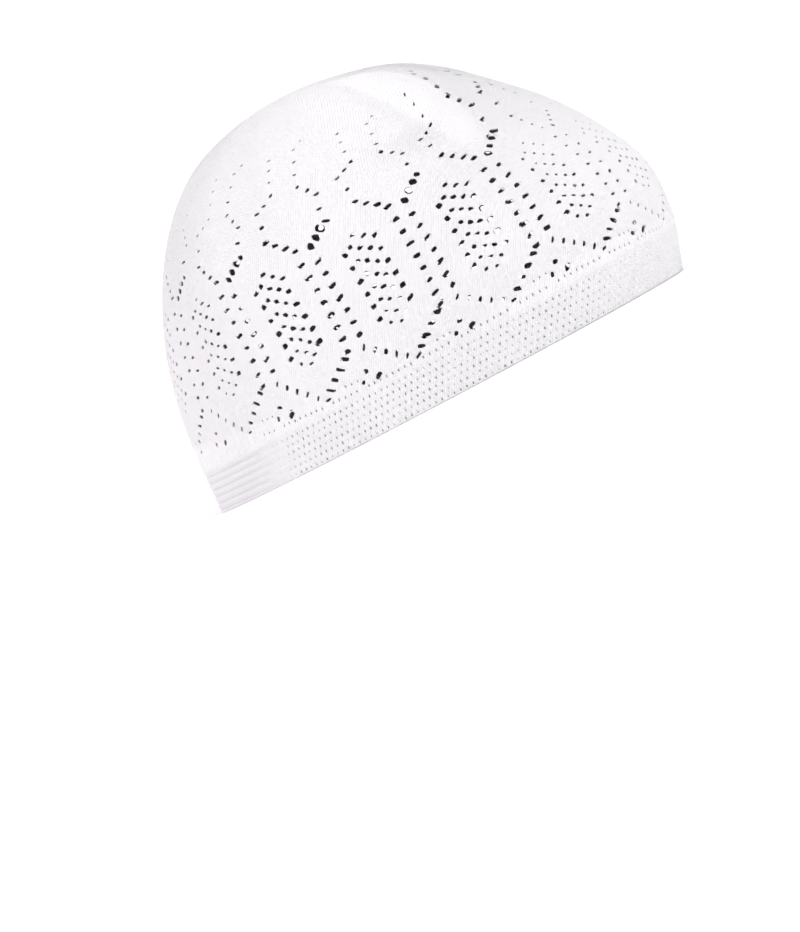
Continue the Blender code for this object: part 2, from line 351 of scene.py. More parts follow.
@dataclass(frozen=True)
class Repeats:
    """How the pattern is shared out around the cap, and how wear draws the cloth.

    On the flat cloth the repeats are even. On the dome they slide towards the sides low down, rise
    towards the rear, shift a little over the front and are taken along by the fold that the crease
    makes. The slack cloth behind the crease hangs lower.
    """

    form: CapForm
    count: int = 14
    first_turn: float = math.radians(102.86)
    columns_each: int = 30
    row_rise: float = 1.45 * MM
    top_rise: float = 3.4 * MM
    fine_until: float = 60.0
    coarse_from: float = 68.0
    top_angles: tuple[float, float] = (87.5, APEX)
    split_angle: float = 49.6
    slide_rate: float = 0.257
    slide_from: float = 20.2
    slide_end: float = 38.2
    end_rise: float = 3.65
    rise_rate: float = 0.074
    rise_base: float = -0.7
    rise_start: float = 1.5
    rise_fades: tuple[float, float] = (58.0, 85.0)
    front_fades: tuple[float, float] = (5.0, 45.0)
    front_turn: float = 2.15
    front_drop: float = 2.25
    rear_starts: tuple[float, float] = (120.0, 150.0)
    rear_turn: float = 1.7
    rear_drop: float = 0.95
    fold: Zone = Zone((34.0, 54.0), (62.0, 80.0), (-15.0, 28.0), (34.0, 45.0))
    fold_turn: float = 15.1
    fold_rise: float = 5.2
    slack: Zone = Zone((40.0, 52.0), (60.0, 85.0), (36.0, 44.0), (50.0, 80.0))
    slack_drop: float = 3.0
    side_across: float = 0.85
    probe_across: float = 0.1
    probe_angle: float = 0.25

    @property
    def columns(self) -> int:
        """Give the number of columns around the whole cap."""
        return self.count * self.columns_each

    @property
    def edge_angle(self) -> float:
        """Give the angle of the crown's edge on the band."""
        return self.form.angle_of_height(self.form.band_height)

    def before_fold(self, across: float, angle: float) -> tuple[float, float, float]:
        """Find where a place of the flat pattern would lie without the fold of the crease.

        Args:
            across: the place across the pattern, in repeats.
            angle: its angle up an evenly drawn dome, in degrees.

        Returns:
            The turn around the cap and the angle up the dome, in degrees, and the fold's share.
        """
        even = self.first_turn - across * math.tau / self.count
        away = turn_away(math.degrees(even))
        front = 1.0 - smooth_step(*self.front_fades, away)
        rear = smooth_step(*self.rear_starts, away)
        slide = self.slide_rate * max(self.slide_end - max(angle, self.slide_from), 0.0)
        forward = math.cos(even)
        rise = self.end_rise * forward * forward
        rise -= self.rise_rate * (angle - self.rise_base) * forward
        rise -= self.front_drop * front + self.rear_drop * rear
        start = min(max((angle - self.edge_angle) / self.rise_start, 0.0), 1.0)
        rise *= start * (1.0 - smooth_step(*self.rise_fades, angle))
        turn = math.degrees(even) + slide * math.sin(2 * even)
        fold = self.fold.share(turn, angle + rise)
        rise -= self.slack_drop * self.slack.share(turn, angle + rise)
        return turn + self.front_turn * front - self.rear_turn * rear, angle + rise, fold

    def place(self, across: float, angle: float) -> tuple[float, float]:
        """Give the turn, in radians, and angle, in degrees, of a place of the flat pattern."""
        turn, angle, fold = self.before_fold(across, angle)
        return math.radians(turn - self.fold_turn * fold), angle + self.fold_rise * fold

    def drawn(self, across: float, angle: float) -> tuple[float, float]:
        """Measure how the cloth is drawn at a place.

        Args:
            across: the place across the pattern, in repeats.
            angle: its angle up an evenly drawn dome, in degrees.

        Returns:
            The width of one column and the length of cloth in one degree.
        """
        side, lift = self.probe_across, self.probe_angle
        left, right, low, high = (
            self.form.dome_point(*self.place(across + step, angle + rise))
            for step, rise in ((-side, 0.0), (side, 0.0), (0.0, -lift), (0.0, lift))
        )
        width = (right - left).length / (2 * side * self.columns_each)
        return width, (high - low).length / (2 * lift)

    def rise_at(self, angle: float) -> float:
        """Give the length of cloth in one degree up the dome, at the side."""
        return self.drawn(self.side_across, angle)[1]

    def width_at(self, angle: float) -> float:
        """Give the width of one column at the side."""
        return self.drawn(self.side_across, angle)[0]

    def row_angles(self) -> list[float]:
        """List the angles of the crown's rows.

        Returns:
            The angles in degrees, from the crown's edge on the band to its apex.
        """
        angles = [self.edge_angle]
        while angles[-1] < self.form.last_ring:
            angle = angles[-1]
            coarse = smooth_step(self.fine_until, self.coarse_from, angle)
            rise = self.row_rise + (self.top_rise - self.row_rise) * coarse
            angles.append(angle + rise / self.rise_at(angle))
        return angles[:-1] + [self.form.last_ring, *self.top_angles]


@dataclass(frozen=True)
class Tension:
    """How far the cloth is stretched over the dome, which opens its holes."""

    front_until: float = 13.0
    wider: float = 26.0
    wider_rows: tuple[float, float] = (6.0, 26.0)
    narrower: float = 9.0
    narrower_rows: tuple[float, float] = (32.0, 37.0)
    front_blend: float = 7.0
    front_closed: float = 0.33
    high_closed: float = 0.22
    high_rows: tuple[float, float] = (20.0, 33.0)
    upper_closed: float = 0.35
    upper_rows: tuple[float, float] = (44.0, 54.0)
    rear_closed: float = 0.25
    rear_turns: tuple[float, float] = (108.0, 128.0)
    small_rear_turns: tuple[float, float] = (113.0, 125.0)
    small_front_turns: tuple[float, float] = (12.0, 52.0)
    small_front_open: float = 0.4

    def size(self, turn: float, angle: float, fold: float) -> float:
        """Give how large the holes stand open somewhere on the dome.

        Args:
            turn: the turn around the cap, in degrees.
            angle: the angle up the dome, in degrees.
            fold: how far the crease takes the cloth along there.

        Returns:
            A share of the size that they have at the side.
        """
        until = self.front_until + self.wider * smooth_step(*self.wider_rows, angle)
        until -= self.narrower * smooth_step(*self.narrower_rows, angle)
        blend = self.front_blend
        loose = 1.0 - smooth_step(until - blend, until + blend, turn_away(turn))
        closed = self.front_closed + self.high_closed * smooth_step(*self.high_rows, angle)
        rear = self.rear_closed * smooth_step(*self.rear_turns, turn_away(turn))
        upper = self.upper_closed * smooth_step(*self.upper_rows, angle)
        return 1.0 - max(closed * loose, upper) * (1.0 - fold) - rear + fold

    def small(self, turn: float) -> float:
        """Give how far the small holes by the rim stand open: shut at the rear, faint in front.

        Args:
            turn: the turn around the cap, in radians.

        Returns:
            A share.
        """
        away = turn_away(math.degrees(turn))
        front = smooth_step(*self.small_front_turns, away)
        opened = self.small_front_open + (1.0 - self.small_front_open) * front
        return (1.0 - smooth_step(*self.small_rear_turns, away)) * opened


TENSION = Tension()


@dataclass
class Hole:
    """One hole of the crown: its place in columns and rows, its size and its seat on the grid."""

    kind: HoleKind
    column: float
    row: float
    half_length: float
    half_width: float
    lean: float
    column_width: float
    row_height: float
    outline: list[float]
    push_from: float = 0.45
    push_rate: float = 0.35

    @property
    def seat(self) -> tuple[int, int]:
        """Give the grid point that the hole opens from."""
        return round(self.column), round(self.row)

    def fit(self, room: float) -> None:
        """Keep the hole within some room around its middle.

        Args:
            room: the room, in columns and rows.
        """
        flat, steep = abs(math.cos(self.lean)) + TINY, abs(math.sin(self.lean)) + TINY
        along, up = room * self.column_width, room * self.row_height
        self.half_length = min(self.half_length, along / flat, up / steep)
        self.half_width = min(self.half_width, along / steep, up / flat)

    def edge(self, direction: float, margin: float, uneven: bool) -> tuple[float, float]:
        """Give a point of the hole's outline.

        Args:
            direction: the way from the hole's middle, in radians.
            margin: how far outside the outline the point lies.
            uneven: whether the outline has its own irregular shape.

        Returns:
            The point's column and row.
        """
        sectors = len(self.outline)
        reach = self.outline[round(direction * sectors / math.tau) % sectors] if uneven else 1.0
        flat = direction - self.lean
        x = (self.half_length * reach + margin) * squared(math.cos(flat))
        y = (self.half_width * reach + margin) * squared(math.sin(flat))
        along, up = leaned(x, y, self.lean)
        return self.column + along / self.column_width, self.row + up / self.row_height

    def push(self, column: float, row: float, clear: float) -> tuple[float, float]:
        """Move a grid point out of the hole's way.

        Args:
            column: the point's column.
            row: the point's row.
            clear: the width of cloth that stays around the hole.

        Returns:
            The shift in columns and rows.
        """
        along = (column - self.column) * self.column_width
        up = (row - self.row) * self.row_height
        x, y = leaned(along, up, -self.lean)
        reach = math.hypot(x / (self.half_length + clear), y / (self.half_width + clear))
        wanted = 1.0 + self.push_rate * max(reach - self.push_from, 0.0)
        if reach >= wanted or reach < TINY:
            return 0.0, 0.0
        more = wanted / reach - 1.0
        return along * more / self.column_width, up * more / self.row_height


@dataclass
class HoleChart:
    """All the holes of the crown, worked out from the runs of one repeat."""

    repeats: Repeats
    angles: list[float]
    chance: random.Random = field(default_factory=lambda: random.Random(SEED))
    room: float = 1.45
    place_spread: float = 0.08
    length_spread: float = 0.14
    width_spread: float = 0.18
    lean_spread: float = 12.0
    outline_spread: float = 0.22
    outline_points: int = 8
    least_open: float = 0.1

    def near(self, value: float, spread: float) -> float:
        """Draw a number near a value."""
        return self.chance.uniform(value - spread, value + spread)

    def row_of(self, angle: float) -> float:
        """Give the row, with its fraction, of an angle up the dome.

        Args:
            angle: the angle, in degrees.

        Returns:
            The row.
        """
        for row, (low, high) in enumerate(zip(self.angles, self.angles[1:])):
            if angle <= high:
                return row + (angle - low) / (high - low)
        return len(self.angles) - 1.0

    def row_step(self, angle: float) -> float:
        """Give the step between two rows at an angle up the dome, in degrees."""
        row = min(int(self.row_of(angle)), len(self.angles) - 2)
        return self.angles[row + 1] - self.angles[row]

    def hole(self, kind: HoleKind, run: Run, place: int, repeat: int) -> Hole:
        """Make one hole of a run, with its own slight irregularity.

        Args:
            kind: how the hole is made.
            run: the run that the hole belongs to.
            place: the hole's number in the run.
            repeat: the repeat's number around the cap.

        Returns:
            The hole.
        """
        share = place / max(run.count - 1, 1)
        across = run.across + (run.last_across - run.across) * share + repeat
        angle = run.angle + (run.last_angle - run.angle) * share
        angle -= run.sag * 4 * share * (1 - share)
        width, rise = self.repeats.drawn(across, angle)
        half = TENSION.size(*self.repeats.before_fold(across, angle)) * MM / 2
        hole = Hole(
            kind=kind,
            column=across * self.repeats.columns_each + self.near(0.0, self.place_spread),
            row=self.row_of(angle) + self.near(0.0, self.place_spread),
            half_length=run.length * half * self.near(1.0, self.length_spread),
            half_width=run.width * half * self.near(1.0, self.width_spread),
            lean=math.radians(run.lean + self.near(0.0, self.lean_spread)),
            column_width=width,
            row_height=rise * self.row_step(angle),
            outline=[self.near(1.0, self.outline_spread) for _ in range(self.outline_points)],
        )
        hole.fit(self.room)
        return hole

    def seats(self) -> dict[tuple[int, int], Hole]:
        """Seat every hole on the grid.

        Returns:
            The holes by their seats, each seat taken once.
        """
        seats: dict[tuple[int, int], Hole] = {}
        for repeat in range(self.repeats.count):
            for run in EYELET_RUNS:
                for place in range(run.count):
                    self.seat(seats, self.hole(HoleKind.EYELET, run, place, repeat))
            for run in DIMPLE_RUNS:
                for place in range(run.count):
                    hole = self.hole(HoleKind.DIMPLE, run, place, repeat)
                    turn, _ = self.repeats.place(hole.column / self.repeats.columns_each, run.angle)
                    if TENSION.small(turn) > self.least_open:
                        self.seat(seats, hole)
        return seats

    def seat(self, seats: dict[tuple[int, int], Hole], hole: Hole) -> None:
        """Give a hole its seat, unless another hole has it or one beside it.

        Args:
            seats: the holes that are seated, which this one joins.
            hole: the hole.
        """
        columns = self.repeats.columns
        column, row = hole.seat
        near = ((0, 0), (-1, 0), (1, 0), (0, -1), (0, 1))
        if any(((column + side) % columns, row + level) in seats for side, level in near):
            return
        if 0 < row < len(self.angles) - 1:
            seats[(column % columns, row)] = hole


class Grain(NamedTuple):
    """How the stitches lie on a piece: their size and how far they lean towards the front."""

    wale: float
    course: float
    lean: float

    def count(self, along: float, up: float) -> tuple[float, float]:
        """Count the stitches to a point that is so far along the rim and up the cloth."""
        across, rise = leaned(along, up, self.lean)
        return across / self.wale, rise / self.course


def make_piece(name: str, form: bmesh.types.BMesh) -> bpy.types.Object:
    """Turn a bmesh into a named piece of the scene.

    Args:
        name: the piece's name.
        form: the bmesh, which is freed.

    Returns:
        The new object.
    """
    mesh = bpy.data.meshes.new(name)
    form.to_mesh(mesh)
    form.free()
    mesh.shade_smooth()
    mesh.set_sharp_from_angle(angle=SHARP_ANGLE)
    piece = bpy.data.objects.new(name, mesh)
    bpy.context.scene.collection.objects.link(piece)
    return piece


def dress(piece: bpy.types.Object, finishes: "list[KnitFinish]", node: str) -> None:
    """Give a piece its finishes, hang it under the root body and hide the solid that it stands for.

    Args:
        piece: the piece.
        finishes: its outer finish, and its inner one where it has its own.
        node: the solid that it stands for.
    """
    for finish in finishes:
        made = bpy.data.materials.get(finish.name) or finish.material()
        piece.data.materials.append(made)
    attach(piece, "root")
    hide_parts(node)


class Spot(NamedTuple):
    """Where a point of the crown lies: its column and row, its sink, its wall and the shade painted
    on it.
    """

    column: float
    row: float
    sink: float
    wall: float
    hollow_shade: float = 0.0


@dataclass
class Crown:
    """The openwork crown, knitted in one from the band to the apex."""

    form: CapForm
    wall: float = 0.95 * MM
    edge_wall: float = 0.55 * MM
    rim_width: float = 0.36 * MM
    rim_sink: float = 0.18 * MM
    clearance: float = 0.58 * MM
    dimple_sink: float = 0.6 * MM
    dimple_wall: float = 0.3 * MM
    bevel: float = 0.3
    drawn_reach: float = 2.2
    most_drawn: float = 1.5
    neighbours: int = 2
    gore_edge: float = 0.3
    grain: Grain = Grain(0.90 * MM, 0.68 * MM, math.radians(28.0))

    def __post_init__(self) -> None:
        """Lay out the rows and the holes of the crown."""
        self.repeats = Repeats(self.form)
        self.angles = self.repeats.row_angles()
        self.seats = HoleChart(self.repeats, self.angles).seats()
        self.moves = self.grid_moves()

    def tube(self) -> bmesh.types.BMesh:
        """Make the crown's grid as a tube of unit squares.

        Returns:
            The tube, with one square for each column and row.
        """
        columns = self.repeats.columns
        rows = len(self.angles) - 1
        form = bmesh.new()
        bmesh.ops.create_grid(form, x_segments=columns, y_segments=rows, size=0.5)
        radius = columns / math.tau
        for vert in form.verts:
            turn = (vert.co.x + 0.5) * math.tau
            height = (vert.co.y + 0.5) * rows
            vert.co = Vector((radius * math.cos(turn), radius * math.sin(turn), height))
        bmesh.ops.remove_doubles(form, verts=form.verts, dist=SAME_PLACE)
        return form

    def place(self, point: Vector) -> tuple[float, float]:
        """Give the column and row of a point of the tube."""
        turn = math.atan2(point.y, point.x) % math.tau
        return turn * self.repeats.columns / math.tau, point.z

    def hole_at(self, point: Vector) -> tuple[Hole | None, float, float]:
        """Find the hole that a point of the tube belongs to.

        Args:
            point: the point.

        Returns:
            The hole, or None, and the point's shift from its grid point in columns and rows.
        """
        column, row = self.place(point)
        seat = (round(column) % self.repeats.columns, round(row))
        return self.seats.get(seat), column - round(column), row - round(row)

    def around(self, seat: tuple[int, int]) -> list[tuple[int, int, tuple[int, int]]]:
        """List the grid points around a seat.

        Args:
            seat: the seat.

        Returns:
            The points' steps across and up, and the points themselves.
        """
        columns = self.repeats.columns
        steps = range(-self.neighbours, self.neighbours + 1)
        return [
            (side, level, ((seat[0] + side) % columns, seat[1] + level))
            for side in steps
            for level in steps
        ]

    def drawn_moves(self) -> dict[tuple[int, int], tuple[float, float]]:
        """Work out how the grid is drawn along with holes that lie beside their seats.

        Returns:
            The shifts in columns and rows, by grid point.
        """
        drawn: dict[tuple[int, int], list[tuple[float, float]]] = {}
        for seat, hole in self.seats.items():
            shift = (hole.column - round(hole.column), hole.row - round(hole.row))
            for side, level, key in self.around(seat):
                share = max(0.0, 1.0 - math.hypot(side, level) / self.drawn_reach)
                drawn.setdefault(key, []).append((shift[0] * share, shift[1] * share))
        moves = {}
        for key, shifts in drawn.items():
            share = min(len(shifts), self.most_drawn) / len(shifts)
            moves[key] = tuple(sum(shift[axis] for shift in shifts) * share for axis in (0, 1))
        return moves

    def grid_moves(self) -> dict[tuple[int, int], tuple[float, float]]:
        """Work out how far each grid point moves for the holes beside it.

        Returns:
            The shifts in columns and rows, by grid point.
        """
        drawn = self.drawn_moves()
        moves = dict(drawn)
        for seat, hole in self.seats.items():
            if hole.kind is HoleKind.DIMPLE:
                continue
            for side, level, key in self.around(seat):
                if key in self.seats:
                    continue
                shift = drawn.get(key, (0.0, 0.0))
                column = round(hole.column) + side + shift[0]
                push = hole.push(column, seat[1] + level + shift[1], self.clearance)
                old = moves.get(key, (0.0, 0.0))
                moves[key] = (old[0] + push[0], old[1] + push[1])
        inside = range(1, len(self.angles) - 1)
        return {key: shift for key, shift in moves.items() if key[1] in inside}

    def open_holes(self, form: bmesh.types.BMesh) -> None:
        """Open the holes: a bevelled grid point each, cleared and rimmed where it goes through.

        Args:
            form: the tube of squares.
        """
        centres = []
        for vert in form.verts:
            hole, side, level = self.hole_at(vert.co)
            if hole is not None and abs(side) + abs(level) < SAME_PLACE:
                centres.append(vert)
        through = [
            face
            for face in bevel_points(form, centres, self.bevel)
            if self.hole_at(face.calc_center_median())[0].kind is HoleKind.EYELET
        ]
        bmesh.ops.delete(form, geom=through, context="FACES")
        ends = (0.5, len(self.angles) - 1.5)
        edges = [
            edge
            for edge in form.edges
            if edge.is_boundary and ends[0] < edge.verts[0].co.z < ends[1]
        ]
        rims = bmesh.ops.extrude_edge_only(form, edges=edges)
        hole_edge = form.verts.layers.int["hole_edge"]
        for item in rims["geom"]:
            if isinstance(item, bmesh.types.BMVert):
                item[hole_edge] = 1

    def spot(self, vert: bmesh.types.BMVert, at_edge: bool) -> Spot:
        """Work out where a point of the tube lies on the crown.

        Args:
            vert: the point.
            at_edge: whether it is on the very edge of an eyelet.

        Returns:
            Its spot.
        """
        hole, side, level = self.hole_at(vert.co)
        column, row = self.place(vert.co)
        if hole is None:
            key = (round(column) % self.repeats.columns, round(row))
            move = self.moves.get(key, (0.0, 0.0))
            return Spot(column + move[0], row + move[1], 0.0, self.wall)
        if abs(side) + abs(level) < SAME_PLACE:
            return Spot(hole.column, hole.row, self.dimple_sink, self.dimple_wall, 1.0)
        direction = math.atan2(level, side)
        if hole.kind is HoleKind.DIMPLE:
            return Spot(*hole.edge(direction, 0.0, True), 0.0, self.wall)
        if at_edge:
            return Spot(*hole.edge(direction, 0.0, True), self.rim_sink, self.edge_wall)
        return Spot(*hole.edge(direction, self.rim_width, False), 0.0, self.wall)

    @staticmethod
    def between(values: list[float], row: float) -> float:
        """Read a list of values, one for each row, at a row with its fraction."""
        low = min(max(int(row), 0), len(values) - 2)
        return values[low] + (values[low + 1] - values[low]) * (row - low)

    def point(self, spot: Spot, depth: float) -> Vector:
        """Give the point of the crown at a spot.

        Args:
            spot: the spot.
            depth: how far the point lies under the spot's own depth.

        Returns:
            The point.
        """
        across = spot.column / self.repeats.columns_each
        turn, angle = self.repeats.place(across, self.between(self.angles, spot.row))
        return self.form.crown_point(turn, angle, spot.sink + depth)

    def rises(self) -> list[float]:
        """Measure how far up the cloth each row lies, at the side.

        Returns:
            The lengths of cloth from the rim.
        """
        rises = [self.form.band_height]
        for low, high in zip(self.angles, self.angles[1:]):
            rises.append(rises[-1] + (high - low) * self.repeats.rise_at((low + high) / 2))
        return rises

    def map_grain(self, form: bmesh.types.BMesh, spots: list[Spot]) -> None:
        """Give the crown its stitch counts as a UV map, gore by gore.

        Args:
            form: the crown, still in its tube's order.
            spots: where each vertex lies, by its index.
        """
        grain_map = form.loops.layers.uv.new("stitches")
        rises = self.rises()
        widths = [self.repeats.width_at(angle) for angle in self.angles]
        each = self.repeats.columns_each
        for face in form.faces:
            around = [spots[loop.vert.index] for loop in face.loops]
            start = around[0].column
            across = [
                start + math.remainder(spot.column - start, self.repeats.columns)
                for spot in around
            ]
            gore = math.floor(sum(across) / len(across) / each - self.gore_edge)
            axis = (gore + self.gore_edge + 0.5) * each
            for loop, column, spot in zip(face.loops, across, around):
                along = (column - axis) * self.between(widths, spot.row)
                loop[grain_map].uv = self.grain.count(along, self.between(rises, spot.row))

    def split_row(self) -> int:
        """Choose a row without holes near the place where the crown's two pieces meet."""
        free = set(range(len(self.angles))) - {row for _, row in self.seats}
        return min(free, key=lambda row: abs(self.angles[row] - self.repeats.split_angle))

    def shape(self) -> bmesh.types.BMesh:
        """Shape the crown's wall, with its holes, materials and stitch counts.

        Returns:
            The wall, with its faces below the split marked in the layer "openwork".
        """
        form = self.tube()
        hole_edge = form.verts.layers.int.new("hole_edge")
        number = form.verts.layers.int.new("number")
        hollow_shade = form.verts.layers.float.new("hollow_shade")
        openwork = form.faces.layers.int.new("openwork")
        self.open_holes(form)
        form.verts.index_update()
        spots = []
        for vert in form.verts:
            vert[number] = vert.index
            spots.append(self.spot(vert, vert[hole_edge] == 1))
        self.map_grain(form, spots)
        split = self.split_row()
        for face in form.faces:
            face[openwork] = int(face.calc_center_median().z < split)
        outside = list(form.faces)
        inside = bmesh.ops.extrude_face_region(form, geom=outside, use_keep_orig=True)
        within = {item for item in inside["geom"] if isinstance(item, bmesh.types.BMVert)}
        outside = set(outside)
        # The inner faces take the wrong side's finish, whose grey colour is painted shade.
        for face in form.faces:
            face.material_index = int(face not in outside)
        for vert in form.verts:
            spot = spots[vert[number]]
            vert.co = self.point(spot, spot.wall if vert in within else 0.0)
            # Painted shade: the middle of each dimple is darkened on the outer face.
            vert[hollow_shade] = 0.0 if vert in within else spot.hollow_shade
        last = len(self.angles) - 1 - SAME_PLACE
        apex = {vert for vert in form.verts if spots[vert[number]].row > last}
        well = [face for face in form.faces if apex.issuperset(face.verts)]
        bmesh.ops.delete(form, geom=well, context="FACES")
        for skin in (apex - within, apex & within):
            middle = sum((vert.co for vert in skin), Vector()) / len(skin)
            bmesh.ops.pointmerge(form, verts=list(skin), merge_co=middle)
        bmesh.ops.recalc_face_normals(form, faces=form.faces)
        return form

    def build(self) -> list[bpy.types.Object]:
        """Build the crown as two pieces that meet along one row.

        Returns:
            The openwork and the top.
        """
        whole = self.shape()
        pieces = []
        for name, wanted in (("crown_openwork", 1), ("crown_top", 0)):
            form = whole.copy()
            openwork = form.faces.layers.int["openwork"]
            gone = [face for face in form.faces if face[openwork] != wanted]
            bmesh.ops.delete(form, geom=gone, context="FACES")
            cut = [edge for edge in form.edges if edge.is_boundary]
            bmesh.ops.bridge_loops(form, edges=cut)
            pieces.append(make_piece(name, form))
        whole.free()
        return pieces

    @staticmethod
    def dress(piece: bpy.types.Object) -> None:
        """Dress one of the crown's pieces: the right side outside, the wrong side inside in a
        greyer colour, which is painted shade.
        """
        dress(piece, [CROWN_FACE, CROWN_BACK_PAINTED_SHADE], "crown")


def bevel_points(
    form: bmesh.types.BMesh, points: list[bmesh.types.BMVert], offset: float
) -> list[bmesh.types.BMFace]:
    """Bevel grid points, each into a round of small faces.

    Args:
        form: the grid.
        points: the points.
        offset: how far each bevel reaches.

    Returns:
        The new faces.
    """
    shape = {"offset_type": "OFFSET", "segments": 2, "profile": 0.5, "material": -1}
    made = bmesh.ops.bevel(form, geom=points, offset=offset, affect="VERTICES", **shape)
    return made["faces"]


class SectionRow(NamedTuple):
    """A row of the band's section: its height, its inset and whether holes lie on it."""

    height: float
    inset: float
    holes: bool = False


class SmallHole(NamedTuple):
    """A small hole of the band: its middle, column and height, and how far it stands open."""

    middle: Vector
    column: float
    height: float
    share: float


@dataclass
class Band:
    """The edge band: six welts with small sunk holes between them, smooth inside, with painted
    shade along the valleys and in the holes.
    """

    form: CapForm
    repeats: Repeats
    rim_rows: tuple[SectionRow, ...] = (
        SectionRow(0.0, 0.75 * MM),
        SectionRow(0.12 * MM, 0.3 * MM),
        SectionRow(0.5 * MM, 0.05 * MM),
    )
    columns_each: int = 60
    hole_columns: int = 4
    wall: float = 2.0 * MM
    first_valley: float = 1.3 * MM
    welt_pitch: float = 2.65 * MM
    welt_count: int = 6
    welt_rows: tuple[float, float] = (0.37, 0.63)
    welt_turns: tuple[float, float] = (110.0, 135.0)
    depth_back: float = 0.6 * MM
    depth_front: float = 0.07 * MM
    valley_shade: float = 0.16
    valley_power: float = 1.6
    top_room: float = 0.3 * MM
    inner_rows: tuple[float, float, float] = (0.7, 0.35, 0.04)
    inner_round: float = 0.6 * MM
    slant: float = 0.00845 / MM
    hole_length: float = 0.40 * MM
    hole_height: float = 0.82 * MM
    hole_lean: float = 0.10
    hole_sink: float = 0.7 * MM
    hole_bevel: float = 0.25 * MM
    middle_reach: float = 0.02 * MM
    hole_spread: tuple[float, float] = (0.6, 1.15)
    least_open: float = 0.12
    scallops: tuple[float, ...] = (0.14 * MM, 0.07 * MM, 0.0, 0.07 * MM)
    grain: Grain = Grain(0.90 * MM, 0.68 * MM, math.radians(19.0))

    def __post_init__(self) -> None:
        """Work out the band's section."""
        self.chance = random.Random(SEED + 1)
        self.columns = self.repeats.count * self.columns_each
        self.section = self.outline()

    def outline(self) -> list[SectionRow]:
        """List the rows of the band's closed section.

        Returns:
            The rows, from the rim up the outside and down the inside.
        """
        rows = list(self.rim_rows)
        top = self.form.band_height
        for welt in range(self.welt_count):
            valley = self.first_valley + welt * self.welt_pitch
            rows.append(SectionRow(valley, 0.0, True))
            heights = [valley + share * self.welt_pitch for share in self.welt_rows]
            rows += [SectionRow(height, 0.0) for height in heights if height < top - self.top_room]
        rows += [SectionRow(top, inset) for inset in (0.0, self.wall)]
        rows += [SectionRow(top * share, self.wall) for share in self.inner_rows]
        rows.append(SectionRow(0.0, self.wall - self.inner_round))
        return rows

    def welted(self, turn: float) -> float:
        """Give how far the welts stand out: fully at the rear, hardly elsewhere."""
        return smooth_step(*self.welt_turns, turn_away(math.degrees(turn)))

    def valley(self, height: float, turn: float) -> float:
        """Give how far the outer face is drawn in between the welts.

        Args:
            height: the height above the rim.
            turn: the turn around the cap, in radians.

        Returns:
            The depth.
        """
        phase = (height - self.first_valley) / self.welt_pitch
        if not -0.5 < phase < self.welt_count - 0.5:
            return 0.0
        wave = 0.5 + 0.5 * math.cos(math.tau * phase)
        depth = self.depth_front + (self.depth_back - self.depth_front) * self.welted(turn)
        return depth * wave ** self.valley_power

    def turn_at(self, column: float, height: float) -> float:
        """Give the turn of a column, which slants with the stitches, at a height."""
        across = column / self.columns_each + self.slant * height
        return self.repeats.place(across, self.repeats.edge_angle)[0]

    def outer_point(self, column: float, height: float, inset: float, sink: float) -> Vector:
        """Give a point of the band, with its welts and the unevenness of the cloth.

        Args:
            column: the point's column.
            height: its height above the rim.
            inset: how far inside the outer face its row of the section lies.
            sink: how far it lies deeper than its row.

        Returns:
            The point.
        """
        turn = self.turn_at(column, height)
        drawn = inset + sink
        if inset < self.wall / 2:
            drawn += self.valley(height, turn)
        angle = self.form.angle_of_height(height)
        point = self.form.dome_point(turn, angle, drawn)
        return point + self.form.outward(turn, angle) * self.form.ripple(point)

    def ring(self) -> bmesh.types.BMesh:
        """Make the band's grid as a ring of unit squares.

        Returns:
            The ring, with each point's column and row in layers.
        """
        columns, rows = self.columns, len(self.section)
        form = bmesh.new()
        bmesh.ops.create_grid(form, x_segments=columns, y_segments=rows, size=0.5)
        tube, ring = columns / math.tau, rows / math.tau
        for vert in form.verts:
            turn = (vert.co.x + 0.5) * math.tau
            roll = (vert.co.y + 0.5) * math.tau
            reach = tube + ring * math.cos(roll)
            place = (reach * math.cos(turn), reach * math.sin(turn), ring * math.sin(roll))
            vert.co = Vector(place)
        bmesh.ops.remove_doubles(form, verts=form.verts, dist=SAME_PLACE)
        column_of = form.verts.layers.int.new("column")
        row_of = form.verts.layers.int.new("row")
        form.verts.layers.float.new("hollow_shade")
        for vert in form.verts:
            column = math.atan2(vert.co.y, vert.co.x) % math.tau * columns / math.tau
            roll = math.atan2(vert.co.z, math.hypot(vert.co.x, vert.co.y) - tube) % math.tau
            vert[column_of] = round(column) % columns
            vert[row_of] = round(roll * rows / math.tau) % rows
        return form

    def build(self) -> bpy.types.Object:
        """Build the band as one closed ring.

        Returns:
            The band.
        """
        form = self.ring()
        rim_length = self.repeats.width_at(0.0) * self.repeats.columns_each / self.columns_each
        self.map_grain(form, rim_length)
        seats = self.lay_out(form)
        self.sink_holes(form, seats, rim_length)
        bmesh.ops.recalc_face_normals(form, faces=form.faces)
        return make_piece("band_knit", form)

    def map_grain(self, form: bmesh.types.BMesh, rim_length: float) -> None:
        """Give the band its stitch counts as a UV map.

        Args:
            form: the ring of squares.
            rim_length: the length of rim in one column.
        """
        column_of = form.verts.layers.int["column"]
        row_of = form.verts.layers.int["row"]
        grain_map = form.loops.layers.uv.new("stitches")
        for face in form.faces:
            start = face.loops[0].vert[column_of]
            for loop in face.loops:
                row = self.section[loop.vert[row_of]]
                column = start + math.remainder(loop.vert[column_of] - start, self.columns)
                along = column * rim_length + math.tan(self.grain.lean) * row.height
                loop[grain_map].uv = self.grain.count(along, row.height + row.inset)

